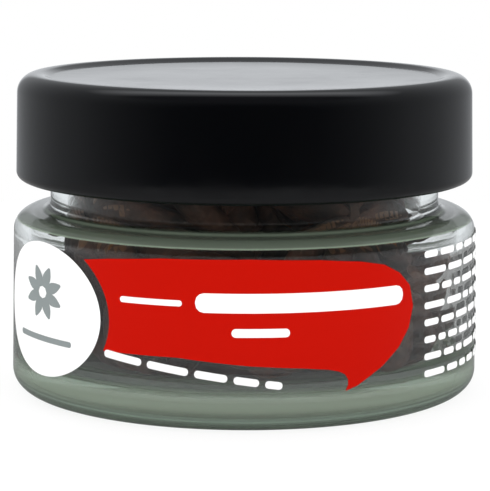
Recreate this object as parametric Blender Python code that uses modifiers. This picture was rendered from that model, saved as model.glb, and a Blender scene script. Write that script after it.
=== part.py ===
"""A low round glass jar with a deep screw lid and a clear wrap-round label, full of whole star anise."""

from math import cos, pi, radians, sin, sqrt

import bpy
from mathutils import noise, Vector

MM = 0.001
SEGMENTS = 48  # facets round every turned piece
FACET = 360 / SEGMENTS

# Driving dimensions, in millimetres. The origin is the centre of the ring that the jar rests on.
HEEL_RADIUS = 37.5  # outside of the body, just above the heel
WALL_TOP_RADIUS = 37.1  # outside of the body, where the shoulder starts
WALL_TOP_Z = 25.6
HEEL_ROUND = 3.2
SHOULDER_ROUND = 3.0
BEARING_INNER_RADIUS = 27.0  # inner edge of the flat ring that the jar rests on
PUSH_UP = 1.2  # height of the hollow under the middle of the base
GLASS = 2.8  # wall thickness of the body and the neck
FLOOR_Z = 5.0
FLOOR_ROUND = 4.0
INNER_SHOULDER_ROUND = 2.4  # inside of the glass, from the wall to the underside of the shoulder
INNER_SHOULDER_Z = 24.5
NECK_RADIUS = 31.2
NECK_FILLET = 1.8
NECK_FILLET_Z = 30.4
INNER_NECK_ROUND = 2.6  # inside of the glass, from the shoulder up into the neck
INNER_NECK_Z = 29.5
FINISH_RADIUS = 33.0  # the thicker band inside the lid
FINISH_Z = 35.8
FINISH_SLOPE = 1.8
RIM_Z = 48.9
RIM_ROUND = 1.1
RIM_INNER_ROUND = 0.9
LID_RADIUS = 36.6  # at the curled bottom edge
LID_TOP_RADIUS = 36.35
LID_BOTTOM_Z = 33.7
LID_TOP_Z = 50.4
LID_ROUND = 3.0
LID_SHEET = 0.6
LID_PANEL_DROP = 0.6  # depth of the flat panel below the crest of the rim
LID_INNER_ROUND = 2.4
CURL = 1.2  # radius of the rolled bottom edge
LABEL_BOTTOM_Z = 4.6
LABEL_TOP_Z = 26.4
LABEL_START = -90.0  # degrees round from the front, towards the right
LABEL_SWEEP = 300.0
FILM = 0.15
FILM_GAP = 0.1
GAP = 0.35  # room between the contents and the glass
HEAP_TOP_Z = 38.0
LUMP = 1.7  # how uneven the outline of the contents is


def arc(centre, radius, start, end, points):
    """Points along an arc in the turning plane, from start to end, in degrees from outward."""
    turns = [radians(start + (end - start) * i / (points - 1)) for i in range(points)]
    return [(centre[0] + radius * cos(t), centre[1] + radius * sin(t)) for t in turns]


def material(name, colour, roughness, metallic=0.0, transmission=0.0):
    made = bpy.data.materials.new(name)
    made.use_nodes = True
    shader = made.node_tree.nodes["Principled BSDF"]
    shader.inputs["Base Color"].default_value = (*colour, 1.0)
    shader.inputs["Roughness"].default_value = roughness
    shader.inputs["Metallic"].default_value = metallic
    shader.inputs["Transmission Weight"].default_value = transmission
    made.diffuse_color = (*colour, 1.0)
    return made


def profile_object(name, points, start=0.0):
    """A chain of edges in the plane that stands at the start angle, ready to be turned about Z."""
    turn = radians(start)
    mesh = bpy.data.meshes.new(name)
    corners = [(r * MM * cos(turn), r * MM * sin(turn), z * MM) for r, z in points]
    mesh.from_pydata(corners, [(i, i + 1) for i in range(len(corners) - 1)], [])
    made = bpy.data.objects.new(name, mesh)
    bpy.data.collections["star_anise_jar"].objects.link(made)
    return made


def turn(profile, sweep=360.0):
    screw = profile.modifiers.new("turn", "SCREW")
    screw.axis = "Z"
    screw.angle = radians(sweep)
    screw.steps = round(sweep / FACET)
    screw.render_steps = screw.steps
    screw.use_merge_vertices = sweep == 360.0
    screw.merge_threshold = 0.00001
    return screw


def finish(made, finish_material):
    made.data.materials.append(finish_material)
    made.data.shade_smooth()
    made.data.set_sharp_from_angle(angle=radians(40))


def made_mesh(made):
    """The object with its modifiers worked into its mesh."""
    graph = bpy.context.evaluated_depsgraph_get()
    solid = bpy.data.meshes.new_from_object(made.evaluated_get(graph))
    made.modifiers.clear()
    made.data = solid
    return made


def jar():
    inner = HEEL_RADIUS - GLASS
    inner_neck = NECK_RADIUS - GLASS
    inside = [(0.0, FLOOR_Z)]
    inside += arc((inner - FLOOR_ROUND, FLOOR_Z + FLOOR_ROUND), FLOOR_ROUND, -90, 0, 5)
    corner = INNER_SHOULDER_ROUND
    inside += arc((inner - corner - 0.2, INNER_SHOULDER_Z), corner, 0, 80, 4)
    inside += arc((inner_neck + INNER_NECK_ROUND, INNER_NECK_Z), INNER_NECK_ROUND, 260, 180, 4)
    lip = RIM_INNER_ROUND
    inside += arc((inner_neck + lip, RIM_Z - lip), lip, 180, 90, 3)
    outside = arc((FINISH_RADIUS - RIM_ROUND, RIM_Z - RIM_ROUND), RIM_ROUND, 90, 0, 4)
    outside += [(FINISH_RADIUS, FINISH_Z), (NECK_RADIUS, FINISH_Z - FINISH_SLOPE)]
    outside += arc((NECK_RADIUS + NECK_FILLET, NECK_FILLET_Z), NECK_FILLET, 180, 260, 5)
    outside += arc((WALL_TOP_RADIUS - SHOULDER_ROUND, WALL_TOP_Z), SHOULDER_ROUND, 85, 0, 6)
    outside += arc((HEEL_RADIUS - HEEL_ROUND, HEEL_ROUND), HEEL_ROUND, 0, -90, 6)
    base = [(BEARING_INNER_RADIUS, 0.0), (BEARING_INNER_RADIUS - 2.5, 0.7), (0.0, PUSH_UP)]
    made = profile_object("jar", inside + outside + base)
    turn(made)
    finish(made, material("clear_glass", (0.78, 0.84, 0.79), 0.03, transmission=1.0))


def lid():
    crest = LID_TOP_RADIUS - LID_ROUND
    panel_z = LID_TOP_Z - LID_PANEL_DROP
    inner_z = panel_z - LID_SHEET
    top = [(0.0, panel_z), (crest - 2.4, panel_z), (crest - 1.2, LID_TOP_Z - 0.15)]
    top += arc((crest, LID_TOP_Z - LID_ROUND), LID_ROUND, 90, 0, 6)
    curl = arc((LID_RADIUS - CURL, LID_BOTTOM_Z + CURL), CURL, 0, -180, 7)
    curl += arc((LID_RADIUS - CURL, LID_BOTTOM_Z + CURL), CURL, 150, 75, 3)
    inside = arc((crest, inner_z - LID_INNER_ROUND), LID_INNER_ROUND, 0, 90, 4)
    inside += [(0.0, inner_z)]
    made = profile_object("lid", top + curl + inside)
    turn(made)
    finish(made, material("black_lacquer", (0.003, 0.0035, 0.005), 0.1))


def label():
    """The clear film that carries the print. It leaves part of the back of the jar bare."""
    draft = (HEEL_RADIUS - WALL_TOP_RADIUS) / (WALL_TOP_Z - HEEL_ROUND)
    heights = (LABEL_TOP_Z, LABEL_BOTTOM_Z)
    points = [(HEEL_RADIUS - draft * (z - HEEL_ROUND) + FILM_GAP, z) for z in heights]
    made = profile_object("label", points, start=LABEL_START - 90.0)
    turn(made, LABEL_SWEEP)
    shell = made.modifiers.new("film", "SOLIDIFY")
    shell.thickness = FILM * MM
    shell.offset = 1.0
    shell.use_even_offset = True
    finish(made, material("clear_film", (0.9, 0.9, 0.9), 0.1, transmission=1.0))


def lumps(place):
    """How far the contents stand in from their largest outline at a place, from 0 to 1."""
    wave = noise.noise(Vector(place) * 95.0) + 0.5 * noise.noise(Vector(place) * 210.0)
    return min(1.0, max(0.0, 0.5 + 0.9 * wave))


def star_anise():
    """All the pods as one body, out to the uneven outline of the heap."""
    body = HEEL_RADIUS - GLASS - GAP
    neck = NECK_RADIUS - GLASS - GAP
    top = [(0.0, HEAP_TOP_Z + LUMP)]
    top += [(neck * sqrt(i / 6), HEAP_TOP_Z + LUMP * cos(pi / 2 * i / 6)) for i in range(1, 6)]
    side = [(neck, HEAP_TOP_Z - 1.5), (neck, 34.0), (neck, 30.0)]
    side += arc((neck + 3.0, 29.2), 3.1, 200, 245, 2)
    side += arc((body - 2.6, WALL_TOP_Z - 1.6), 2.3, 70, 0, 3)
    side += [(body, 19.4), (body, 15.8), (body, 12.2)]
    side += arc((body - FLOOR_ROUND, FLOOR_Z + GAP + FLOOR_ROUND), FLOOR_ROUND, 0, -90, 4)
    side += [(body * share, FLOOR_Z + GAP) for share in (0.6, 0.3, 0.0)]
    made = profile_object("star_anise", top + side)
    turn(made)
    made_mesh(made)
    middle = Vector((0.0, 0.0, 0.5 * (FLOOR_Z + HEAP_TOP_Z) * MM))
    for vertex in made.data.vertices:
        if vertex.co.z < (FLOOR_Z + 1.0) * MM:
            continue  # the underside lies on the floor of the jar
        inwards = (middle - vertex.co).normalized()
        vertex.co += inwards * lumps(vertex.co) * LUMP * MM
    finish(made, material("star_anise", (0.16, 0.06, 0.03), 0.6))


def main():
    for old in list(bpy.data.objects):
        bpy.data.objects.remove(old)
    collection = bpy.data.collections.new("star_anise_jar")
    bpy.context.scene.collection.children.link(collection)
    jar()
    lid()
    label()
    star_anise()


main()
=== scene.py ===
"""A low round glass jar of whole star anise with a glossy black lid and a printed clear label."""

from math import atan2, cos, pi, radians, sin, sqrt

import bpy
import numpy as np
from bpy.props import FloatProperty, FloatVectorProperty, IntProperty, PointerProperty
from mathutils import Euler, Matrix, Vector, noise


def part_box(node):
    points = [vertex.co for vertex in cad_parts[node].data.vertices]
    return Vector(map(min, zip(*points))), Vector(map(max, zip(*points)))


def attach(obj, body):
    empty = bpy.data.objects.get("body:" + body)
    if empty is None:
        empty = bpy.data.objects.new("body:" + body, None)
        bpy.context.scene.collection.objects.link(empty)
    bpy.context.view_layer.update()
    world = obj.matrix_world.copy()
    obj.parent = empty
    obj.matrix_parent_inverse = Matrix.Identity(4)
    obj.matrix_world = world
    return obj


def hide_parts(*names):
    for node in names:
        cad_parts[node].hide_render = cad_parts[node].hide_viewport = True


bl_info = {
    "name": "Jar of star anise",
    "version": (1, 0, 0),
    "blender": (4, 5, 0),
    "location": "View3D > Sidebar > Spice jar",
    "description": "Makes a closed glass jar of whole star anise, piece by piece, with its stage",
    "category": "Add Mesh",
}

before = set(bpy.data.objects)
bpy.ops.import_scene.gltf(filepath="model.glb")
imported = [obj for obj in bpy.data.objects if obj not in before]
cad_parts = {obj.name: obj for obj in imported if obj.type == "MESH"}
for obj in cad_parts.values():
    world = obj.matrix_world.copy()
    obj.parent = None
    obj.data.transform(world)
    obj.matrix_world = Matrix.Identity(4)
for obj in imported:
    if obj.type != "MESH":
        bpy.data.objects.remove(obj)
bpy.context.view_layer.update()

MM = 0.001
JAR_LOW, JAR_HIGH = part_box("jar")
LID_LOW, LID_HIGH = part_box("lid")
LABEL_LOW, LABEL_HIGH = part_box("label")
HEAP_LOW, HEAP_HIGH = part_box("star_anise")

HEEL_RADIUS = JAR_HIGH.x
WALL_TOP_RADIUS = HEEL_RADIUS - 0.4 * MM
HEEL_ROUND = 3.2 * MM
SHOULDER_ROUND = 3.0 * MM
WALL_TOP = LABEL_HIGH.z - 0.8 * MM  # height at which the straight wall turns into the shoulder
DRAFT = (HEEL_RADIUS - WALL_TOP_RADIUS) / (WALL_TOP - HEEL_ROUND)
NECK_RADIUS = HEEL_RADIUS - 6.3 * MM
FINISH_RADIUS = NECK_RADIUS + 1.8 * MM
RIM = JAR_HIGH.z
LID_RADIUS = LID_HIGH.x
LID_TOP = LID_HIGH.z
LID_BOTTOM = LID_LOW.z
ROUND_STEPS = 144  # facets round each turned piece
CORE_RADIUS = 11 * MM  # the pods are kept this far from the middle of the heap
GOLDEN_ANGLE = 2.39996  # radians from each pod to the next, so that they spread evenly
RELAX_STEPS = 160
# Painted refraction: grey-green tone painted on the shoulder ring, standing in for what the thick glass
# shows of its surroundings
PAINTED_SHOULDER_TONE = (0.085, 0.105, 0.08)
PAINTED_RING = (31.35 * MM, 31.8 * MM)  # the painted look of the glass starts here, outwards from the axis
PAINTED_SHOULDER_Z = (27.25 * MM, 27.45 * MM)
PAINTED_HEEL_Z = (6.8 * MM, 5.0 * MM)  # the painted look fades in downwards
HEEL_PAINTED_SHADE_Z = (1.8 * MM, 3.8 * MM)  # painted shade: darker below, where the heel curves under
SHOULDER_SHARE, HEEL_SHARE = 0.88, 0.6


# --- modelling helpers ------------------------------------------------------------------------


def arc(centre, radius, start, end, points):
    """Points along an arc in the turning plane, from start to end, in degrees from outward."""
    turns = [radians(start + (end - start) * i / (points - 1)) for i in range(points)]
    return [(centre[0] + radius * cos(t), centre[1] + radius * sin(t)) for t in turns]


def edit(obj):
    """Opens one object in edit mode with all of it selected."""
    bpy.ops.object.select_all(action="DESELECT")
    obj.select_set(True)
    bpy.context.view_layer.objects.active = obj
    bpy.ops.object.mode_set(mode="EDIT")
    bpy.ops.mesh.select_all(action="SELECT")


def leave_edit():
    bpy.ops.object.mode_set(mode="OBJECT")


def apply_modifiers(obj):
    bpy.ops.object.select_all(action="DESELECT")
    obj.select_set(True)
    bpy.context.view_layer.objects.active = obj
    for modifier in list(obj.modifiers):
        bpy.ops.object.modifier_apply(modifier=modifier.name)


def apply_place(obj):
    bpy.ops.object.select_all(action="DESELECT")
    obj.select_set(True)
    bpy.context.view_layer.objects.active = obj
    bpy.ops.object.transform_apply(location=True, rotation=True, scale=True)


def shade(obj, angle=35):
    bpy.ops.object.select_all(action="DESELECT")
    obj.select_set(True)
    bpy.context.view_layer.objects.active = obj
    bpy.ops.object.shade_smooth_by_angle(angle=radians(angle))


def turned(name, outline, steps=ROUND_STEPS):
    """A closed body turned about Z. The outline starts and ends on the axis or closes on itself."""
    bpy.ops.object.select_all(action="DESELECT")
    bpy.ops.mesh.primitive_plane_add(size=MM)
    obj = bpy.context.object
    obj.name = name
    edit(obj)
    bpy.ops.mesh.merge(type="CENTER")
    bpy.ops.transform.translate(value=(outline[0][0], 0.0, outline[0][1]))
    for (r0, z0), (r1, z1) in zip(outline, outline[1:]):
        step = {"value": (r1 - r0, 0.0, z1 - z0)}
        bpy.ops.mesh.extrude_vertices_move(TRANSFORM_OT_translate=step)
    bpy.ops.mesh.select_all(action="SELECT")
    bpy.ops.mesh.spin(steps=steps, angle=2 * pi, center=(0, 0, 0), axis=(0, 0, 1))
    bpy.ops.mesh.select_all(action="SELECT")
    bpy.ops.mesh.remove_doubles(threshold=1e-6)
    bpy.ops.mesh.normals_make_consistent(inside=False)
    leave_edit()
    apply_place(obj)
    shade(obj)
    return obj


def joined(name, pieces):
    """One mesh made of several objects, with its place worked in."""
    bpy.ops.object.select_all(action="DESELECT")
    for piece in pieces:
        piece.select_set(True)
    bpy.context.view_layer.objects.active = pieces[0]
    if len(pieces) > 1:
        bpy.ops.object.join()
    made = bpy.context.view_layer.objects.active
    made.name = name
    apply_place(made)
    return made


def place(piece, slot, *replaced):
    """Fixes a piece to the jar and hides the CAD nodes that it stands for. The slot is not used."""
    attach(piece, "root")
    if replaced:
        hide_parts(*replaced)


# --- materials --------------------------------------------------------------------------------


def node_group(name, inputs, outputs):
    """An empty shader group with its sockets, and its input and output nodes."""
    group = bpy.data.node_groups.new(name, "ShaderNodeTree")
    for label, kind, default in inputs:
        socket = group.interface.new_socket(label, in_out="INPUT", socket_type=kind)
        if default is not None:
            socket.default_value = default
    for label, kind in outputs:
        group.interface.new_socket(label, in_out="OUTPUT", socket_type=kind)
    return group, group.nodes.new("NodeGroupInput"), group.nodes.new("NodeGroupOutput")


def smudge_group():
    """Faint unevenness of a glossy surface: a roughness value and a shallow waviness."""
    found = bpy.data.node_groups.get("smudge")
    if found:
        return found
    group, ins, outs = node_group(
        "smudge",
        [
            ("Vector", "NodeSocketVector", None),
            ("Scale", "NodeSocketFloat", 60.0),
            ("Least roughness", "NodeSocketFloat", 0.02),
            ("Most roughness", "NodeSocketFloat", 0.08),
        ],
        [("Roughness", "NodeSocketFloat"), ("Height", "NodeSocketFloat")],
    )
    cloud = group.nodes.new("ShaderNodeTexNoise")
    cloud.inputs["Detail"].default_value = 5.0
    ramp = group.nodes.new("ShaderNodeMapRange")
    ramp.inputs["From Min"].default_value = 0.35
    ramp.inputs["From Max"].default_value = 0.7
    link = group.links.new
    link(ins.outputs["Vector"], cloud.inputs["Vector"])
    link(ins.outputs["Scale"], cloud.inputs["Scale"])
    link(cloud.outputs["Fac"], ramp.inputs["Value"])
    link(ins.outputs["Least roughness"], ramp.inputs["To Min"])
    link(ins.outputs["Most roughness"], ramp.inputs["To Max"])
    link(ramp.outputs["Result"], outs.inputs["Roughness"])
    link(cloud.outputs["Fac"], outs.inputs["Height"])
    return group


def husk_group():
    """Mottled colour and wrinkles of a dried husk, between two tones."""
    found = bpy.data.node_groups.get("dried_husk")
    if found:
        return found
    group, ins, outs = node_group(
        "dried_husk",
        [
            ("Vector", "NodeSocketVector", None),
            ("Dark", "NodeSocketColor", (0.04, 0.015, 0.008, 1)),
            ("Light", "NodeSocketColor", (0.2, 0.08, 0.04, 1)),
            ("Wrinkle scale", "NodeSocketFloat", 900.0),
        ],
        [("Color", "NodeSocketColor"), ("Height", "NodeSocketFloat")],
    )
    broad = group.nodes.new("ShaderNodeTexNoise")
    broad.inputs["Scale"].default_value = 130.0
    broad.inputs["Detail"].default_value = 6.0
    fine = group.nodes.new("ShaderNodeTexNoise")
    fine.inputs["Detail"].default_value = 8.0
    fine.inputs["Roughness"].default_value = 0.65
    cells = group.nodes.new("ShaderNodeTexVoronoi")
    cells.feature = "SMOOTH_F1"
    both = group.nodes.new("ShaderNodeMath")
    both.operation = "MULTIPLY_ADD"
    both.inputs[1].default_value = 0.55
    spread = group.nodes.new("ShaderNodeMapRange")
    spread.inputs["From Min"].default_value = 0.55
    spread.inputs["From Max"].default_value = 1.0
    mix = group.nodes.new("ShaderNodeMix")
    mix.data_type = "RGBA"
    height = group.nodes.new("ShaderNodeMath")
    height.operation = "SUBTRACT"
    link = group.links.new
    for node in (broad, fine, cells):
        link(ins.outputs["Vector"], node.inputs["Vector"])
    link(ins.outputs["Wrinkle scale"], fine.inputs["Scale"])
    link(ins.outputs["Wrinkle scale"], cells.inputs["Scale"])
    link(fine.outputs["Fac"], both.inputs[0])
    link(broad.outputs["Fac"], both.inputs[2])
    link(both.outputs["Value"], spread.inputs["Value"])
    link(spread.outputs["Result"], mix.inputs["Factor"])
    link(ins.outputs["Dark"], mix.inputs["A"])
    link(ins.outputs["Light"], mix.inputs["B"])
    link(mix.outputs["Result"], outs.inputs["Color"])
    link(fine.outputs["Fac"], height.inputs[0])
    link(cells.outputs["Distance"], height.inputs[1])
    link(height.outputs["Value"], outs.inputs["Height"])
    return group


def new_material(name, colour=(0.8, 0.8, 0.8), roughness=0.5):
    """A material with its Principled shader and its place on the object."""
    made = bpy.data.materials.new(name)
    made.use_nodes = True
    nodes = made.node_tree.nodes
    shader = nodes["Principled BSDF"]
    shader.inputs["Base Color"].default_value = (*colour, 1.0)
    shader.inputs["Roughness"].default_value = roughness
    where = nodes.new("ShaderNodeTexCoord")
    return made, nodes, made.node_tree.links.new, shader, where


def add_group(nodes, group, **values):
    node = nodes.new("ShaderNodeGroup")
    node.node_tree = group
    for label, value in values.items():
        node.inputs[label.replace("_", " ")].default_value = value
    return node


def add_bump(nodes, link, shader, height, distance, strength=1.0):
    bump = nodes.new("ShaderNodeBump")
    bump.inputs["Distance"].default_value = distance
    bump.inputs["Strength"].default_value = strength
    link(height, bump.inputs["Height"])
    link(bump.outputs["Normal"], shader.inputs["Normal"])


def stepped(nodes, link, value, low, high):
    """A smooth step from 0 at low to 1 at high. Low may be the larger of the two."""
    step = nodes.new("ShaderNodeMapRange")
    step.interpolation_type = "SMOOTHSTEP"
    step.inputs["From Min"].default_value = low
    step.inputs["From Max"].default_value = high
    link(value, step.inputs["Value"])
    return step.outputs["Result"]


def combined(nodes, link, operation, first, second):
    """One Math node on two sockets or numbers."""
    made = nodes.new("ShaderNodeMath")
    made.operation = operation
    for socket, value in zip(made.inputs, (first, second)):
        if isinstance(value, float):
            socket.default_value = value
        else:
            link(value, socket)
    return made.outputs["Value"]


def painted_refraction_look(nodes, link, where):
    """Masks and colours for the painted look of the glass: a ring on the shoulder and, less, the heel get
    an opaque colour standing in for what the glass shows by refraction, with painted highlights and
    painted shade.
    """
    split = nodes.new("ShaderNodeSeparateXYZ")
    link(where.outputs["Object"], split.inputs["Vector"])
    flat = nodes.new("ShaderNodeCombineXYZ")
    link(split.outputs["X"], flat.inputs["X"])
    link(split.outputs["Y"], flat.inputs["Y"])
    out = nodes.new("ShaderNodeVectorMath")
    out.operation = "LENGTH"
    link(flat.outputs["Vector"], out.inputs[0])
    outer = stepped(nodes, link, out.outputs["Value"], *PAINTED_RING)
    high = stepped(nodes, link, split.outputs["Z"], *PAINTED_SHOULDER_Z)
    shoulder = combined(nodes, link, "MULTIPLY", outer, high)
    low = stepped(nodes, link, split.outputs["Z"], *PAINTED_HEEL_Z)
    shoulder = combined(nodes, link, "MULTIPLY", shoulder, SHOULDER_SHARE)
    heel = combined(nodes, link, "MULTIPLY", low, HEEL_SHARE)
    bands = nodes.new("ShaderNodeValToRGB")
    # painted light across the shoulder, 31 to 37 mm out: painted shade next to the neck and painted
    # highlight lines at 0.17 and 0.92
    tones = [(0.0, 0.5), (0.12, 0.6), (0.17, 2.6), (0.25, 1.6), (0.88, 1.1), (0.92, 3.0)]
    while len(bands.color_ramp.elements) < len(tones):
        bands.color_ramp.elements.new(0.5)
    for element, (place_at, level) in zip(bands.color_ramp.elements, tones):
        element.position = place_at
        element.color = (*[c * level for c in PAINTED_SHOULDER_TONE], 1.0)
    across = span(nodes, link, out.outputs["Value"], 31.0 * MM, 37.0 * MM)
    link(across, bands.inputs["Fac"])
    # painted shade low on the heel
    upper_heel = stepped(nodes, link, split.outputs["Z"], *HEEL_PAINTED_SHADE_Z)
    mask = combined(nodes, link, "MAXIMUM", shoulder, heel)
    return mask, low, bands.outputs["Color"], upper_heel


def let_light_through(made, nodes, link, surface):
    """Lamps and bounced light pass straight through, so that what is inside isn't in the dark."""
    path = nodes.new("ShaderNodeLightPath")
    either = nodes.new("ShaderNodeMath")
    either.operation = "MAXIMUM"
    clear = nodes.new("ShaderNodeBsdfTransparent")
    clear.inputs["Color"].default_value = (0.9, 0.94, 0.9, 1.0)
    mix = nodes.new("ShaderNodeMixShader")
    link(path.outputs["Is Shadow Ray"], either.inputs[0])
    link(path.outputs["Is Diffuse Ray"], either.inputs[1])
    link(either.outputs["Value"], mix.inputs["Fac"])
    link(surface, mix.inputs[1])
    link(clear.outputs["BSDF"], mix.inputs[2])
    link(mix.outputs["Shader"], nodes["Material Output"].inputs["Surface"])


def glass_material(sizes):
    made, nodes, link, shader, where = new_material("clear_glass", (1.0, 1.0, 1.0), 0.0)
    shader.inputs["Transmission Weight"].default_value = 1.0
    shader.inputs["IOR"].default_value = 1.5
    smudge = add_group(
        nodes, smudge_group(), Scale=45.0, Least_roughness=0.0, Most_roughness=0.012
    )
    link(where.outputs["Object"], smudge.inputs["Vector"])
    link(smudge.outputs["Roughness"], shader.inputs["Roughness"])
    add_bump(nodes, link, shader, smudge.outputs["Height"], 0.05 * MM)
    # The shoulder ring and the heel get an opaque painted colour in place of clear glass: painted
    # refraction with painted highlights and painted shade
    ring, low, shoulder_tone, heel_height = painted_refraction_look(nodes, link, where)
    painted_shader = nodes.new("ShaderNodeBsdfPrincipled")
    tones = nodes.new("ShaderNodeMix")
    tones.data_type = "RGBA"
    link(shoulder_tone, tones.inputs["A"])
    # painted shade: the heel colour at 0.35 of its strength low down, where it curves under
    rounded = mix_by(
        nodes, link, heel_height, (*[0.35 * c for c in sizes.heel_painted_tone], 1.0),
        (*sizes.heel_painted_tone, 1.0),
    )
    link(rounded, tones.inputs["B"])
    link(low, tones.inputs["Factor"])
    link(tones.outputs["Result"], painted_shader.inputs["Base Color"])
    painted_shader.inputs["Roughness"].default_value = 0.06
    # mixes the clear glass with the opaque painted colour by the mask
    thick = nodes.new("ShaderNodeMixShader")
    link(ring, thick.inputs["Fac"])
    link(shader.outputs["BSDF"], thick.inputs[1])
    link(painted_shader.outputs["BSDF"], thick.inputs[2])
    depth = nodes.new("ShaderNodeVolumeAbsorption")
    depth.inputs["Color"].default_value = (*sizes.glass_tint, 1.0)
    depth.inputs["Density"].default_value = 14.0
    link(depth.outputs["Volume"], nodes["Material Output"].inputs["Volume"])
    let_light_through(made, nodes, link, thick.outputs["Shader"])
    return made


def lacquer_material(sizes):
    made, nodes, link, shader, where = new_material("black_lacquer", sizes.lacquer, 0.1)
    shader.inputs["IOR"].default_value = 1.5
    smudge = add_group(
        nodes, smudge_group(), Scale=110.0, Least_roughness=0.06, Most_roughness=0.13
    )
    link(where.outputs["Object"], smudge.inputs["Vector"])
    link(smudge.outputs["Roughness"], shader.inputs["Roughness"])
    add_bump(nodes, link, shader, smudge.outputs["Height"], 0.02 * MM)
    return made


def film_material(sizes):
    made, nodes, link, shader, where = new_material("clear_film", sizes.film_haze, 0.3)
    shader.inputs["Alpha"].default_value = 0.02
    smudge = add_group(
        nodes, smudge_group(), Scale=70.0, Least_roughness=0.2, Most_roughness=0.4
    )
    link(where.outputs["Object"], smudge.inputs["Vector"])
    link(smudge.outputs["Roughness"], shader.inputs["Roughness"])
    return made


def print_material(name, colour, roughness=0.35):
    """Flat ink on film, with a barely uneven density."""
    made, nodes, link, shader, where = new_material(name, colour, roughness)
    shader.inputs["Specular IOR Level"].default_value = 0.04
    grain = nodes.new("ShaderNodeTexNoise")
    grain.inputs["Scale"].default_value = 2500.0
    grain.inputs["Detail"].default_value = 3.0
    ink = nodes.new("ShaderNodeMix")
    ink.data_type = "RGBA"
    ink.inputs["A"].default_value = (*[c * 0.97 for c in colour], 1.0)
    ink.inputs["B"].default_value = (*colour, 1.0)
    link(where.outputs["Object"], grain.inputs["Vector"])
    link(grain.outputs["Fac"], ink.inputs["Factor"])
    link(ink.outputs["Result"], shader.inputs["Base Color"])
    add_bump(nodes, link, shader, grain.outputs["Fac"], 0.01 * MM)
    return made


def husk_material(name, dark, light, wrinkle_scale, depth, roughness):
    made, nodes, link, shader, where = new_material(name, light, roughness)
    husk = add_group(nodes, husk_group(), Dark=(*dark, 1), Light=(*light, 1))
    husk.inputs["Wrinkle scale"].default_value = wrinkle_scale
    link(where.outputs["Object"], husk.inputs["Vector"])
    link(husk.outputs["Color"], shader.inputs["Base Color"])
    add_bump(nodes, link, shader, husk.outputs["Height"], depth)
    return made


# --- settings ---------------------------------------------------------------------------------


class JarSettings(bpy.types.PropertyGroup):
    glass_wall: FloatProperty(
        name="Wall", description="Thickness of the glass", default=2.8 * MM, unit="LENGTH"
    )
    floor_height: FloatProperty(
        name="Floor", description="Thickness of the base", default=5.0 * MM, unit="LENGTH"
    )
    glass_tint: FloatVectorProperty(
        name="Tint", description="Colour of deep glass", subtype="COLOR",
        default=(0.55, 0.78, 0.6),
    )
    # Painted refraction: the colour painted on the heel, standing in for what the thick base shows of its
    # surroundings
    heel_painted_tone: FloatVectorProperty(
        name="Heel glass", description="Colour of the thick base", subtype="COLOR",
        default=(0.3, 0.36, 0.285),
    )
    lacquer: FloatVectorProperty(
        name="Lacquer", description="Colour of the lid", subtype="COLOR",
        default=(0.0008, 0.001, 0.0016),
    )


class LabelSettings(bpy.types.PropertyGroup):
    film: FloatProperty(
        name="Film", description="Thickness of the film", default=0.1 * MM, unit="LENGTH"
    )
    film_haze: FloatVectorProperty(
        name="Haze", description="Colour of the film's haze", subtype="COLOR",
        default=(0.8, 0.8, 0.82),
    )
    red: FloatVectorProperty(
        name="Red", description="Colour of the field", subtype="COLOR",
        default=(0.5, 0.004, 0.0),
    )
    white: FloatVectorProperty(
        name="White", description="Colour of the disc and the bars", subtype="COLOR",
        default=(0.93, 0.93, 0.93),
    )
    grey: FloatVectorProperty(
        name="Grey", description="Colour of the star on the disc", subtype="COLOR",
        default=(0.25, 0.28, 0.28),
    )


class PodSettings(bpy.types.PropertyGroup):
    count: IntProperty(name="Pods", description="Pods in the jar", default=32, min=1)
    reach: FloatProperty(
        name="Reach", description="From a pod's middle to a tip", default=14.0 * MM,
        unit="LENGTH",
    )
    husk_dark: FloatVectorProperty(
        name="Husk, dark", description="Dark tone of the husk", subtype="COLOR",
        default=(0.016, 0.0075, 0.005),
    )
    husk_light: FloatVectorProperty(
        name="Husk, light", description="Light tone of the husk", subtype="COLOR",
        default=(0.105, 0.036, 0.02),
    )
    lining: FloatVectorProperty(
        name="Lining", description="Colour inside the carpels", subtype="COLOR",
        default=(0.17, 0.072, 0.034),
    )
    seed: FloatVectorProperty(
        name="Seed", description="Colour of the seeds", subtype="COLOR",
        default=(0.22, 0.08, 0.025),
    )


class StageSettings(bpy.types.PropertyGroup):
    floor: FloatVectorProperty(
        name="Floor", description="Colour of the floor", subtype="COLOR",
        default=(0.9, 0.9, 0.9),
    )
    softbox: FloatProperty(name="Softbox", description="Power of the overhead light", default=4.0)


# --- jar and lid ------------------------------------------------------------------------------


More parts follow.
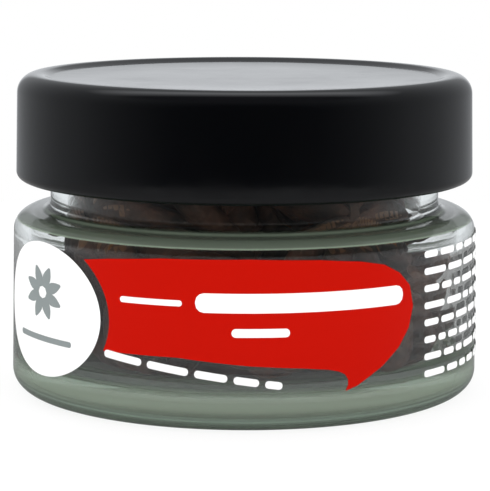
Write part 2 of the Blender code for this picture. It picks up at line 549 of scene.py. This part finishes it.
class SPICEJAR_OT_glass(bpy.types.Operator):
    """Turns the thick-walled glass jar"""

    bl_idname = "spicejar.glass"
    bl_label = "Glass jar"

    def execute(self, context):
        sizes = context.scene.spice_jar
        wall, floor = sizes.glass_wall, sizes.floor_height
        inner, inner_neck = HEEL_RADIUS - wall, NECK_RADIUS - wall
        inside = [(0.0, floor), (inner * 0.5, floor)]
        inside += arc((inner - 4 * MM, floor + 4 * MM), 4 * MM, -90, 0, 12)
        inside += arc((inner - 2.6 * MM, WALL_TOP - 1.1 * MM), 2.4 * MM, 0, 80, 10)
        inside += arc((inner_neck + 2.6 * MM, 29.5 * MM), 2.6 * MM, 260, 180, 10)
        inside += arc((inner_neck + 0.9 * MM, RIM - 0.9 * MM), 0.9 * MM, 180, 90, 6)
        outside = arc((FINISH_RADIUS - 1.1 * MM, RIM - 1.1 * MM), 1.1 * MM, 90, 0, 6)
        outside += [(FINISH_RADIUS, 35.8 * MM), (NECK_RADIUS, 34.0 * MM)]
        outside += arc((NECK_RADIUS + 1.8 * MM, 30.4 * MM), 1.8 * MM, 180, 260, 10)
        shoulder = (WALL_TOP_RADIUS - SHOULDER_ROUND, WALL_TOP)
        outside += arc(shoulder, SHOULDER_ROUND, 85, 0, 14)
        outside += arc((HEEL_RADIUS - HEEL_ROUND, HEEL_ROUND), HEEL_ROUND, 0, -90, 12)
        base = [(27.0 * MM, 0.0), (26.2 * MM, 0.15 * MM), (24.5 * MM, 0.7 * MM)]
        base += [(12.0 * MM, 1.08 * MM), (0.0, 1.2 * MM)]
        jar = turned("glass_jar", inside + outside + base)
        jar.data.materials.append(glass_material(sizes))
        place(jar, "glass", "jar")
        return {"FINISHED"}


class SPICEJAR_OT_lid(bpy.types.Operator):
    """Turns the deep lid with its raised rim and rolled bottom edge"""

    bl_idname = "spicejar.lid"
    bl_label = "Lid"

    def execute(self, context):
        top_radius = LID_RADIUS - 0.25 * MM
        crest = top_radius - 3 * MM
        panel = LID_TOP - 0.6 * MM
        under = panel - 0.6 * MM
        curl_centre = (LID_RADIUS - 1.2 * MM, LID_BOTTOM + 1.2 * MM)
        top = [(0.0, panel), (crest * 0.5, panel), (crest - 2.6 * MM, panel)]
        top += [(crest - 2.2 * MM, panel + 0.04 * MM), (crest - 1.3 * MM, LID_TOP - 0.16 * MM)]
        top += [(crest - 0.7 * MM, LID_TOP - 0.03 * MM)]
        top += arc((crest, LID_TOP - 3 * MM), 3 * MM, 90, 0, 14)
        curl = arc(curl_centre, 1.2 * MM, 0, -180, 16)
        curl += arc(curl_centre, 1.2 * MM, 165, 75, 6)
        inside = arc((crest, under - 2.4 * MM), 2.4 * MM, 0, 90, 8) + [(0.0, under)]
        lid = turned("lid_shell", top + curl + inside)
        lid.data.materials.append(lacquer_material(context.scene.spice_jar))
        place(lid, "black_lacquer", "lid")
        return {"FINISHED"}


# --- label ------------------------------------------------------------------------------------


def wall_radius(z):
    """Outside of the glass at a height within the label."""
    if z <= WALL_TOP:
        return HEEL_RADIUS - DRAFT * (z - HEEL_ROUND)
    rise = z - WALL_TOP
    return WALL_TOP_RADIUS - SHOULDER_ROUND + sqrt(SHOULDER_ROUND**2 - rise**2)


def roll(obj, lift):
    """Rolls a flat layout onto the wall: x is the way round from the front, y the height."""
    for vertex in obj.data.vertices:
        s, z, out = vertex.co.x, vertex.co.y, vertex.co.z
        radius = wall_radius(z) + lift + out
        turn = s / HEEL_RADIUS
        vertex.co = (radius * sin(turn), -radius * cos(turn), z)


def slice_upright(obj, step=1.2 * MM):
    """Cuts a flat layout into narrow upright strips, so that it can be rolled."""
    edit(obj)
    bpy.ops.mesh.quads_convert_to_tris(quad_method="BEAUTY", ngon_method="BEAUTY")
    reach = max(abs(corner[0]) for corner in obj.bound_box)
    cuts = int(reach / step)
    for i in range(-cuts, cuts + 1):
        bpy.ops.mesh.select_all(action="SELECT")
        bpy.ops.mesh.bisect(plane_co=(i * step, 0, 0), plane_no=(1, 0, 0))
    leave_edit()


def thicken(obj, thickness):
    solid = obj.modifiers.new("thickness", "SOLIDIFY")
    solid.thickness = thickness
    solid.offset = 1.0
    apply_modifiers(obj)


def flat_shape(name, outline):
    """A flat filled face with the given outline, anticlockwise."""
    bpy.ops.object.select_all(action="DESELECT")
    bpy.ops.mesh.primitive_circle_add(vertices=len(outline), radius=MM, fill_type="NGON")
    obj = bpy.context.object
    obj.name = name
    for vertex, (x, y) in zip(obj.data.vertices, outline):
        vertex.co = (x, y, 0.0)
    return obj


def bar(x, y, width, height, round_share=0.45, lean=0.0):
    """A flat bar with rounded ends, centred on a place in the layout."""
    bpy.ops.object.select_all(action="DESELECT")
    bpy.ops.mesh.primitive_plane_add(size=1.0, location=(x, y, 0.0), rotation=(0, 0, lean))
    obj = bpy.context.object
    obj.scale = (width, height, 1.0)
    apply_place(obj)
    edit(obj)
    bpy.ops.mesh.bevel(
        affect="VERTICES", offset=min(width, height) * round_share, segments=3
    )
    leave_edit()
    return obj


DISC = {"centre": (-36.25 * MM, 15.75 * MM), "radii": (13.5 * MM, 10.36 * MM)}


def bubble_outline():
    """A speech bubble: left edge hollowed round the disc, round right end, small tail below."""
    edge_gap = 1.6 * MM
    (cx, cz), (rx, rz) = DISC["centre"], DISC["radii"]
    rx, rz = rx + edge_gap, rz + edge_gap
    left = []
    for i in range(13):
        turn = radians(48 - 70 * i / 12)
        left.append((cx + rx * cos(turn), cz + rz * sin(turn)))
    bottom = [(-10.0, 11.3), (0.85, 10.3), (8.85, 9.8), (12.7, 9.4), (14.4, 9.0)]
    tail = [(15.4, 8.5), (15.9, 7.7), (15.9, 6.9), (15.5, 6.0), (17.4, 6.6), (19.2, 7.6)]
    right = [(22.0, 9.2), (25.0, 11.6), (27.1, 14.4), (28.0, 17.6), (27.3, 20.8)]
    top = [(25.2, 22.9), (22.2, 24.4), (18.0, 25.2), (11.3, 25.8), (0.85, 26.1)]
    top += [(-12.6, 25.9), (-21.5, 25.2)]
    return left + [(x * MM, z * MM) for x, z in bottom + tail + right + top]


def words(start, end, height, z, seed, slope=0.0):
    """A row of rounded bars, one for each word of a line of small print."""
    chance = np.random.default_rng(seed)
    made, x = [], start
    while x < end:
        width = min(height * chance.uniform(2.0, 6.5), end - x + height)
        lean = atan2(slope, 1.0)
        made.append(bar(x + width / 2, z + slope * (x + width / 2 - start), width, height, 0.45, lean))
        x += width + height * 0.75
    return made


class SPICEJAR_OT_label(bpy.types.Operator):
    """Wraps the clear film and its print round the jar"""

    bl_idname = "spicejar.label"
    bl_label = "Label"

    def execute(self, context):
        sizes = context.scene.spice_label
        self.film(sizes)
        self.print_field(sizes)
        self.print_white(sizes)
        self.print_star(sizes)
        return {"FINISHED"}

    def film(self, sizes):
        low, high = LABEL_LOW.z, LABEL_HIGH.z
        start, end = radians(-90), radians(210)
        width = (end - start) * HEEL_RADIUS
        middle = (start + end) / 2 * HEEL_RADIUS
        bpy.ops.object.select_all(action="DESELECT")
        bpy.ops.mesh.primitive_grid_add(
            x_subdivisions=150, y_subdivisions=12, size=1.0,
            location=(middle, (low + high) / 2, 0.0),
        )
        film = bpy.context.object
        film.name = "label_film"
        film.scale = (width, high - low, 1.0)
        apply_place(film)
        thicken(film, sizes.film)
        roll(film, 0.05 * MM)
        shade(film, 50)
        film.data.materials.append(film_material(sizes))
        place(film, "label_film", "label")

    def print_field(self, sizes):
        field = flat_shape("red_field", bubble_outline())
        slice_upright(field)
        thicken(field, 0.03 * MM)
        roll(field, 0.17 * MM)
        shade(field)
        field.data.materials.append(print_material("red_ink", sizes.red))
        place(field, "red_print")

    def print_white(self, sizes):
        (cx, cz), (rx, rz) = DISC["centre"], DISC["radii"]
        turns = [2 * pi * i / 72 for i in range(72)]
        disc = flat_shape("disc", [(cx + rx * cos(t), cz + rz * sin(t)) for t in turns])
        parts = [disc]
        parts.append(bar(-14.2 * MM, 19.4 * MM, 10.0 * MM, 0.9 * MM))
        parts.append(bar(9.3 * MM, 19.6 * MM, 33.0 * MM, 2.9 * MM))
        parts.append(bar(2.5 * MM, 15.2 * MM, 8.6 * MM, 1.3 * MM))
        parts += words(-22.0 * MM, 6.3 * MM, 1.15 * MM, 11.0 * MM, 5, slope=-0.135)
        for row in range(8):
            parts += words(30.6 * MM, 62 * MM, 1.05 * MM, (25.0 - 2.62 * row) * MM, 20 + row)
        white = joined("white_print", parts)
        slice_upright(white)
        thicken(white, 0.03 * MM)
        roll(white, 0.21 * MM)
        shade(white)
        white.data.materials.append(print_material("white_ink", sizes.white))
        place(white, "white_print")

    def print_star(self, sizes):
        cx, cz = DISC["centre"][0], DISC["centre"][1] + 2.6 * MM
        petals = []
        for i in range(8):
            turn = pi / 4 * i + pi / 8
            outline = []
            for k in range(14):
                side = 1 if k < 7 else -1
                share = max(0.0, min(1.0, (k if k < 7 else 13 - k) / 6.5))
                reach = (0.9 + 3.6 * share) * MM
                half = 0.95 * MM * sin(pi * (0.12 + 0.88 * share)) * (1.0 - 0.2 * share)
                outline.append((reach, -side * half))
            turned_outline = [
                (cx + 1.25 * (x * cos(turn) - y * sin(turn)), cz + x * sin(turn) + y * cos(turn))
                for x, y in outline
            ]
            petals.append(flat_shape("petal", turned_outline))
        petals.append(bar(DISC["centre"][0], 11.2 * MM, 15.0 * MM, 0.9 * MM, 0.45))
        star = joined("star_print", petals)
        slice_upright(star)
        thicken(star, 0.03 * MM)
        roll(star, 0.25 * MM)
        shade(star)
        star.data.materials.append(print_material("grey_ink", sizes.grey))
        place(star, "white_print")


# --- pods -------------------------------------------------------------------------------------


def carpel(name, materials, opening, bulge, beak, seed):
    """One boat-shaped carpel along +X from the pod's middle, split open along its top."""
    along_count, round_count = 13, 12
    bpy.ops.object.select_all(action="DESELECT")
    bpy.ops.mesh.primitive_grid_add(x_subdivisions=along_count, y_subdivisions=round_count, size=2.0)
    obj = bpy.context.object
    obj.name = name
    for vertex in obj.data.vertices:
        u = (vertex.co.x + 1) / 2
        v = vertex.co.y
        swell = sin(pi * min(1.0, u * 0.93 + 0.07)) ** 0.7
        half_width = (0.35 + 2.45 * swell * bulge) * MM
        depth = (1.0 + 6.0 * (sin(pi * (0.3 + 0.68 * u)) ** 0.9)) * MM
        crest = (-0.4 + 1.6 * u + beak * u**5) * MM
        gape = opening * max(0.0, sin(pi * min(1.0, max(0.0, (u - 0.1) / 0.85)))) ** 0.8
        lip = 0.12 + 0.75 * gape
        turn = v * (pi - lip)
        x = (1.1 + 13.0 * u + 0.35 * cos(turn) * u) * MM
        y = half_width * sin(turn) * (1.0 - 0.15 * (1 + cos(turn)) / 2)
        z = crest - depth / 2 * (1 + cos(turn))
        place_in_noise = Vector((x, y, z)) * 420.0 + Vector((seed * 3.7, 0, 0))
        wrinkle = noise.noise(place_in_noise) * 0.22 * MM * (1 - abs(v) ** 6)
        vertex.co = (x, y + wrinkle * sin(turn), z - abs(wrinkle) * cos(turn))
    solid = obj.modifiers.new("wall", "SOLIDIFY")
    solid.thickness = 0.45 * MM
    solid.offset = -1.0
    solid.material_offset = 1
    for material in materials:
        obj.data.materials.append(material)
    edit(obj)
    bpy.ops.mesh.normals_make_consistent(inside=False)
    leave_edit()
    apply_modifiers(obj)
    return obj


def seed_shape(name, material):
    """A flat oval seed lying along +X, a little pointed at one end."""
    bpy.ops.object.select_all(action="DESELECT")
    bpy.ops.mesh.primitive_uv_sphere_add(segments=14, ring_count=8, radius=1.0)
    obj = bpy.context.object
    obj.name = name
    for vertex in obj.data.vertices:
        x, y, z = vertex.co
        vertex.co = (3.1 * MM * x, 1.0 * MM * y * (1 - 0.12 * x), 2.1 * MM * z * (1 - 0.18 * x))
    obj.data.materials.append(material)
    return obj


def copy_at(master, matrix, keep):
    made = master.copy()
    made.data = master.data.copy()
    bpy.context.collection.objects.link(made)
    made.data.transform(matrix)
    keep.append(made)
    return made


def settled(count, reach):
    """Where the pods come to rest, as one matrix for each pod.

    Each pod is a rigid set of balls, eight arms of two and a hub. Balls of different pods push
    each other apart, the glass holds them in and the dark core keeps them out of the middle, and
    each pod is then fitted back to its own shape.
    """
    chance = np.random.default_rng(11)
    arms = [(a, r, z) for a in range(8) for r, z in ((0.42, -1.8), (0.8, -1.0))]
    shape = [(0.0, 0.0, -2.2 * MM)]
    shape += [(reach * r * cos(pi / 4 * a), reach * r * sin(pi / 4 * a), z * MM) for a, r, z in arms]
    hub = -np.mean(shape, axis=0)
    shape = np.array(shape) + hub
    radius = np.array([3.0] + [3.0, 2.3] * 8) * MM
    scale = chance.uniform(0.86, 1.08, count)
    balls = len(shape)
    rest = np.stack([shape * s for s in scale])
    radii = (radius[None] * scale[:, None]).reshape(-1)
    turns = [Euler(chance.uniform(0, 2 * pi, 3)).to_matrix() for _ in range(count)]
    at = np.stack([r @ np.array(m).T for r, m in zip(rest, turns)])
    order = np.arange(count)
    way = order * GOLDEN_ANGLE + chance.normal(0, 0.2, count)
    height = (7.0 + (order + 0.5) / count * 29.0 + chance.normal(0, 1.0, count)) * MM
    spread = np.where(height < 18 * MM, 27.0, np.where(height < 25 * MM, 23.0, 16.0))
    out = spread * MM * np.sqrt(chance.uniform(0.45, 1, count))
    at += np.stack([out * np.cos(way), out * np.sin(way), height], axis=1)[:, None]
    owner = np.repeat(order, balls)
    others = owner[:, None] != owner[None]
    touching = radii[:, None] + radii[None]
    inner, step_in = HEEL_RADIUS - 3.1 * MM, HEEL_RADIUS - NECK_RADIUS
    before = at.copy()
    for _ in range(RELAX_STEPS):
        move = (at - before) * 0.8
        move[:, :, 2] -= 0.015 * MM
        before = at.copy()
        at = at + np.clip(move, -MM, MM)
        for _ in range(3):
            flat = at.reshape(-1, 3)
            gap = flat[:, None] - flat[None]
            square = np.einsum("ijk,ijk->ij", gap, gap)
            i, j = np.nonzero((square < touching**2) & others)
            apart = np.sqrt(square[i, j]) + 1e-9
            push = gap[i, j] * ((touching[i, j] - apart) / apart)[:, None]
            total = [np.bincount(i, weights=push[:, k], minlength=len(flat)) for k in range(3)]
            hits = np.maximum(np.bincount(i, minlength=len(flat)), 1)
            flat = flat + np.stack(total, axis=1) / hits[:, None] * 0.6
            aside = (flat - (0, 0, 17.0 * MM)) * (1, 1, 1.3)
            far = np.linalg.norm(aside, axis=1) + 1e-9
            need = np.maximum(CORE_RADIUS + radii - far, 0)
            flat = flat + aside * (need / far * 0.5)[:, None]
            out = np.hypot(flat[:, 0], flat[:, 1])
            high = np.clip((flat[:, 2] - 23.5 * MM) / (3.5 * MM), 0, 1)
            limit = inner - step_in * high - radii
            flat[:, :2] *= np.minimum(1.0, limit / np.maximum(out, 1e-9))[:, None]
            flat[:, 2] = np.clip(flat[:, 2], 5.2 * MM + 0.4 * radii, 38.0 * MM - radii)
            at = flat.reshape(count, balls, 3)
            middle = at.mean(1, keepdims=True)
            u, _, vt = np.linalg.svd(np.einsum("nij,nik->njk", rest, at - middle))
            u[:, :, 2] *= np.sign(np.linalg.det(u @ vt))[:, None]
            rotation = u @ vt
            at = np.einsum("nij,njk->nik", rest, rotation) + middle
    found = []
    for n in range(count):
        turn = Matrix(rotation[n].T.tolist()).to_4x4()
        origin = Vector(middle[n, 0]) + turn @ Vector(hub) * scale[n]
        found.append(Matrix.Translation(origin) @ turn @ Matrix.Scale(scale[n], 4))
    return found


def keep_inside(obj):
    """Presses the tips that reach into the glass back to its inner face."""
    inner, neck = HEEL_RADIUS - 2.85 * MM, NECK_RADIUS - 2.85 * MM
    for vertex in obj.data.vertices:
        x, y, z = vertex.co
        high = min(1.0, max(0.0, (z - 24.0 * MM) / (2.6 * MM)))
        limit = inner + (neck - inner) * (1 - sqrt(1 - high**2) if high < 1 else 1)
        far = sqrt(x * x + y * y)
        share = min(1.0, limit / far) if far > 0 else 1.0
        vertex.co = (x * share, y * share, min(max(z, 5.06 * MM), 40.0 * MM))


class SPICEJAR_OT_pods(bpy.types.Operator):
    """Fills the jar with whole star anise"""

    bl_idname = "spicejar.pods"
    bl_label = "Star anise"

    def execute(self, context):
        sizes = context.scene.spice_pods
        husk = husk_material(
            "pod_husk", sizes.husk_dark, sizes.husk_light, 700.0, 0.35 * MM, 0.62
        )
        lining = husk_material(
            "pod_lining", [c * 0.6 for c in sizes.lining], sizes.lining, 300.0, 0.08 * MM, 0.32
        )
        stalk = husk_material("pod_stalk", sizes.husk_dark, sizes.husk_light, 500.0, 0.2 * MM, 0.7)
        shell = husk_material("seed_shell", [c * 0.6 for c in sizes.seed], sizes.seed, 200.0, 0, 0.12)
        carpels = [
            carpel("carpel_a", (husk, lining), 0.55, 1.0, 1.2, 1),
            carpel("carpel_b", (husk, lining), 0.85, 1.1, 1.8, 2),
            carpel("carpel_c", (husk, lining), 0.25, 0.85, 0.6, 3),
            carpel("carpel_d", (husk, lining), 0.08, 0.6, 0.9, 4),
        ]
        seed = seed_shape("seed_master", shell)
        stem = self.stem(stalk)
        pods, seeds = [], []
        chance = np.random.default_rng(4)
        for matrix in settled(sizes.count, sizes.reach):
            self.pod(matrix, carpels, seed, stem, chance, pods, seeds)
        for master in carpels + [seed, stem]:
            bpy.data.objects.remove(master)
        heap = joined("star_anise_pods", pods)
        keep_inside(heap)
        shade(heap, 50)
        place(heap, "star_anise", "star_anise")
        loose = joined("star_anise_seeds", seeds)
        keep_inside(loose)
        shade(loose, 60)
        place(loose, "seed")
        self.core(husk)
        return {"FINISHED"}

    def stem(self, material):
        """The stub of the stalk under the middle of a pod."""
        outline = [(0.0, -1.5 * MM), (1.6 * MM, -2.0 * MM), (1.5 * MM, -5.0 * MM)]
        outline += [(0.9 * MM, -6.4 * MM), (0.8 * MM, -9.0 * MM), (1.1 * MM, -9.6 * MM), (0.0, -9.8 * MM)]
        stem = turned("stem_master", outline, 10)
        stem.data.materials.append(material)
        return stem

    def pod(self, matrix, carpels, seed, stem, chance, pods, seeds):
        arms = 8
        for i in range(arms):
            kind = chance.choice(4, p=(0.4, 0.3, 0.2, 0.1))
            turn = 2 * pi * i / arms + chance.normal(0, 0.05)
            size = chance.uniform(0.86, 1.08) if kind != 3 else chance.uniform(0.6, 0.8)
            tip = chance.normal(0.0, 0.1)
            arm = Matrix.Rotation(turn, 4, "Z") @ Matrix.Rotation(tip, 4, "Y")
            stretch = Matrix.Diagonal((size, chance.uniform(0.85, 1.15), chance.uniform(0.9, 1.1), 1))
            copy_at(carpels[kind], matrix @ arm @ stretch, pods)
            if kind < 3 and chance.random() < 0.8:
                lie = Matrix.Translation((7.6 * MM * size, 0, -2.2 * MM))
                lie = lie @ Matrix.Rotation(chance.normal(0.1, 0.15), 4, "Y")
                copy_at(seed, matrix @ arm @ lie, seeds)
        copy_at(stem, matrix, pods)

    def core(self, material):
        """A dark lumpy filling in the middle of the heap, behind the pods."""
        bpy.ops.object.select_all(action="DESELECT")
        bpy.ops.mesh.primitive_ico_sphere_add(subdivisions=4, radius=1.0, location=(0, 0, 0))
        core = bpy.context.object
        core.name = "heap_core"
        middle = Vector((0, 0, 13.0 * MM))
        for vertex in core.data.vertices:
            lump = 1.0 + 0.14 * noise.noise(vertex.co * 3.0) + 0.06 * noise.noise(vertex.co * 9.0)
            x, y, z = vertex.co * lump
            down = min(1.0, max(0.0, -z * 2))
            reach = 19.0 * MM + 8.0 * MM * down
            reach *= max(0.1, 1.0 - z * z) ** (-0.35 * down)
            tall = 17.0 * MM if z > 0 else 6.9 * MM
            vertex.co = middle + Vector((reach * x, reach * y, tall * z))
        shade(core, 60)
        core.data.materials.append(material)
        place(core, "star_anise")


# --- stage ------------------------------------------------------------------------------------


def ramp(nodes, link, value, stops):
    """Grey levels along a value, as (place, level) pairs."""
    made = nodes.new("ShaderNodeValToRGB")
    while len(made.color_ramp.elements) < len(stops):
        made.color_ramp.elements.new(0.5)
    for element, (place_at, level) in zip(made.color_ramp.elements, stops):
        element.position = place_at
        element.color = (level * 0.97, level, level * 1.04, 1.0)
    link(value, made.inputs["Fac"])
    return made.outputs["Color"]


def mix_by(nodes, link, factor, first, second):
    """A colour between two colours or sockets."""
    made = nodes.new("ShaderNodeMix")
    made.data_type = "RGBA"
    link(factor, made.inputs["Factor"])
    for socket, colour in (("A", first), ("B", second)):
        if isinstance(colour, tuple):
            made.inputs[socket].default_value = colour
        else:
            link(colour, made.inputs[socket])
    return made.outputs["Result"]


def span(nodes, link, value, low, high):
    """The value as a share of the way from low to high."""
    made = nodes.new("ShaderNodeMapRange")
    made.inputs["From Min"].default_value = low
    made.inputs["From Max"].default_value = high
    link(value, made.inputs["Value"])
    return made.outputs["Result"]


def surroundings(world):
    """Studio walls: dark behind the camera, softly lighter to the sides, white behind the jar."""
    world.use_nodes = True
    nodes, link = world.node_tree.nodes, world.node_tree.links.new
    where = nodes.new("ShaderNodeTexCoord")
    split = nodes.new("ShaderNodeSeparateXYZ")
    link(where.outputs["Generated"], split.inputs["Vector"])
    away = span(nodes, link, split.outputs["Y"], -1.0, 1.0)
    mirrored = [(0.0, 0.03), (0.1, 0.05), (0.25, 0.13), (0.5, 0.3), (0.75, 0.36), (0.98, 0.36)]
    mirrored += [(0.992, 0.76), (1.0, 0.85)]
    seen = [(0.0, 0.04), (0.25, 0.14), (0.5, 0.34), (0.7, 0.55), (0.85, 0.9), (1.0, 0.95)]
    path = nodes.new("ShaderNodeLightPath")
    walls = mix_by(
        nodes, link, path.outputs["Is Transmission Ray"],
        ramp(nodes, link, away, mirrored), ramp(nodes, link, away, seen),
    )
    above = span(nodes, link, split.outputs["Z"], 0.7, 0.85)
    behind = span(nodes, link, split.outputs["Y"], 0.0, 0.4)
    softbox = mix_by(nodes, link, behind, (0.12, 0.12, 0.13, 1.0), (1.3, 1.33, 1.38, 1.0))
    room = mix_by(nodes, link, above, walls, softbox)
    either = nodes.new("ShaderNodeMath")
    either.operation = "MAXIMUM"
    link(path.outputs["Is Camera Ray"], either.inputs[0])
    link(path.outputs["Is Diffuse Ray"], either.inputs[1])
    plain = mix_by(nodes, link, either.outputs["Value"], room, (1.0, 1.0, 1.0, 1.0))
    link(plain, nodes["Background"].inputs["Color"])


class SPICEJAR_OT_stage(bpy.types.Operator):
    """Sets the pale floor, the soft light and the camera"""

    bl_idname = "spicejar.stage"
    bl_label = "Stage"

    def execute(self, context):
        sizes = context.scene.spice_stage
        scene = context.scene
        scene.world = bpy.data.worlds.new("studio")
        surroundings(scene.world)
        scene.view_settings.view_transform = "Standard"
        self.floor(sizes)
        self.lamp("overhead", (0.0, 0.1, 0.6), (0, 0, 0), 0.7, sizes.softbox)
        self.camera(scene)
        return {"FINISHED"}

    def floor(self, sizes):
        bpy.ops.object.select_all(action="DESELECT")
        bpy.ops.mesh.primitive_circle_add(vertices=96, radius=0.22, fill_type="NGON")
        floor = bpy.context.object
        floor.name = "floor"
        edit(floor)
        bpy.ops.mesh.extrude_region_move(TRANSFORM_OT_translate={"value": (0, 0, -0.01)})
        leave_edit()
        floor.data.materials.append(self.floor_material(sizes))

    def floor_material(self, sizes):
        """A bright floor, seen dimmer in the glass and the lacquer than by itself."""
        made, nodes, link, shader, where = new_material("floor", sizes.floor, 0.6)
        shader.inputs["Specular IOR Level"].default_value = 0.0
        glow = nodes.new("ShaderNodeEmission")
        glow.inputs["Strength"].default_value = 1.0
        path = nodes.new("ShaderNodeLightPath")
        paper = nodes.new("ShaderNodeTexNoise")
        paper.inputs["Scale"].default_value = 30.0
        link(where.outputs["Object"], paper.inputs["Vector"])
        dim = ramp(nodes, link, paper.outputs["Fac"], [(0.0, 0.11), (1.0, 0.17)])
        shown = mix_by(nodes, link, path.outputs["Is Camera Ray"], dim, (1.0, 1.0, 1.0, 1.0))
        link(shown, glow.inputs["Color"])
        bounce = nodes.new("ShaderNodeMath")
        bounce.operation = "SUBTRACT"
        bounce.inputs[0].default_value = 0.85
        link(path.outputs["Is Diffuse Ray"], bounce.inputs[1])
        mix = nodes.new("ShaderNodeMixShader")
        link(bounce.outputs["Value"], mix.inputs["Fac"])
        link(shader.outputs["BSDF"], mix.inputs[1])
        link(glow.outputs["Emission"], mix.inputs[2])
        link(mix.outputs["Shader"], nodes["Material Output"].inputs["Surface"])
        return made

    def lamp(self, name, spot, turn, size, power):
        light = bpy.data.lights.new(name, "AREA")
        light.size = size
        light.energy = power
        lamp = bpy.data.objects.new(name, light)
        lamp.location = spot
        lamp.rotation_euler = turn
        lamp.visible_glossy = False
        lamp.visible_transmission = False
        bpy.context.scene.collection.objects.link(lamp)
        return lamp

    def camera(self, scene):
        eye = bpy.data.cameras.new("camera")
        eye.sensor_width = 36.0
        eye.lens = 165.5
        eye.clip_start = 0.01
        camera = bpy.data.objects.new("camera", eye)
        camera.location = (0.13 * MM, -361.4 * MM, 79.4 * MM)
        aim = Matrix.Rotation(pi / 2 - 0.1567, 3, "X") @ Matrix.Rotation(0.0035, 3, "Z")
        camera.rotation_euler = aim.to_euler()
        scene.collection.objects.link(camera)
        scene.camera = camera


# --- panel and registration -------------------------------------------------------------------


class SPICEJAR_PT_panel(bpy.types.Panel):
    """Lists the pieces of the jar"""

    bl_idname = "SPICEJAR_PT_panel"
    bl_label = "Spice jar"
    bl_space_type = "VIEW_3D"
    bl_region_type = "UI"
    bl_category = "Spice jar"

    def draw(self, context):
        for operator in OPERATORS:
            self.layout.operator(operator.bl_idname)


SETTINGS = {
    "spice_jar": JarSettings,
    "spice_label": LabelSettings,
    "spice_pods": PodSettings,
    "spice_stage": StageSettings,
}
OPERATORS = (
    SPICEJAR_OT_stage,
    SPICEJAR_OT_glass,
    SPICEJAR_OT_lid,
    SPICEJAR_OT_label,
    SPICEJAR_OT_pods,
)


def register():
    for kind in (*SETTINGS.values(), *OPERATORS, SPICEJAR_PT_panel):
        bpy.utils.register_class(kind)
    for name, kind in SETTINGS.items():
        setattr(bpy.types.Scene, name, PointerProperty(type=kind))


def unregister():
    for name in SETTINGS:
        delattr(bpy.types.Scene, name)
    for kind in reversed((*SETTINGS.values(), *OPERATORS, SPICEJAR_PT_panel)):
        bpy.utils.unregister_class(kind)


def main():
    register()
    bpy.ops.spicejar.stage()
    bpy.ops.spicejar.glass()
    bpy.ops.spicejar.lid()
    bpy.ops.spicejar.label()
    bpy.ops.spicejar.pods()


if __name__ == "__main__":
    main()
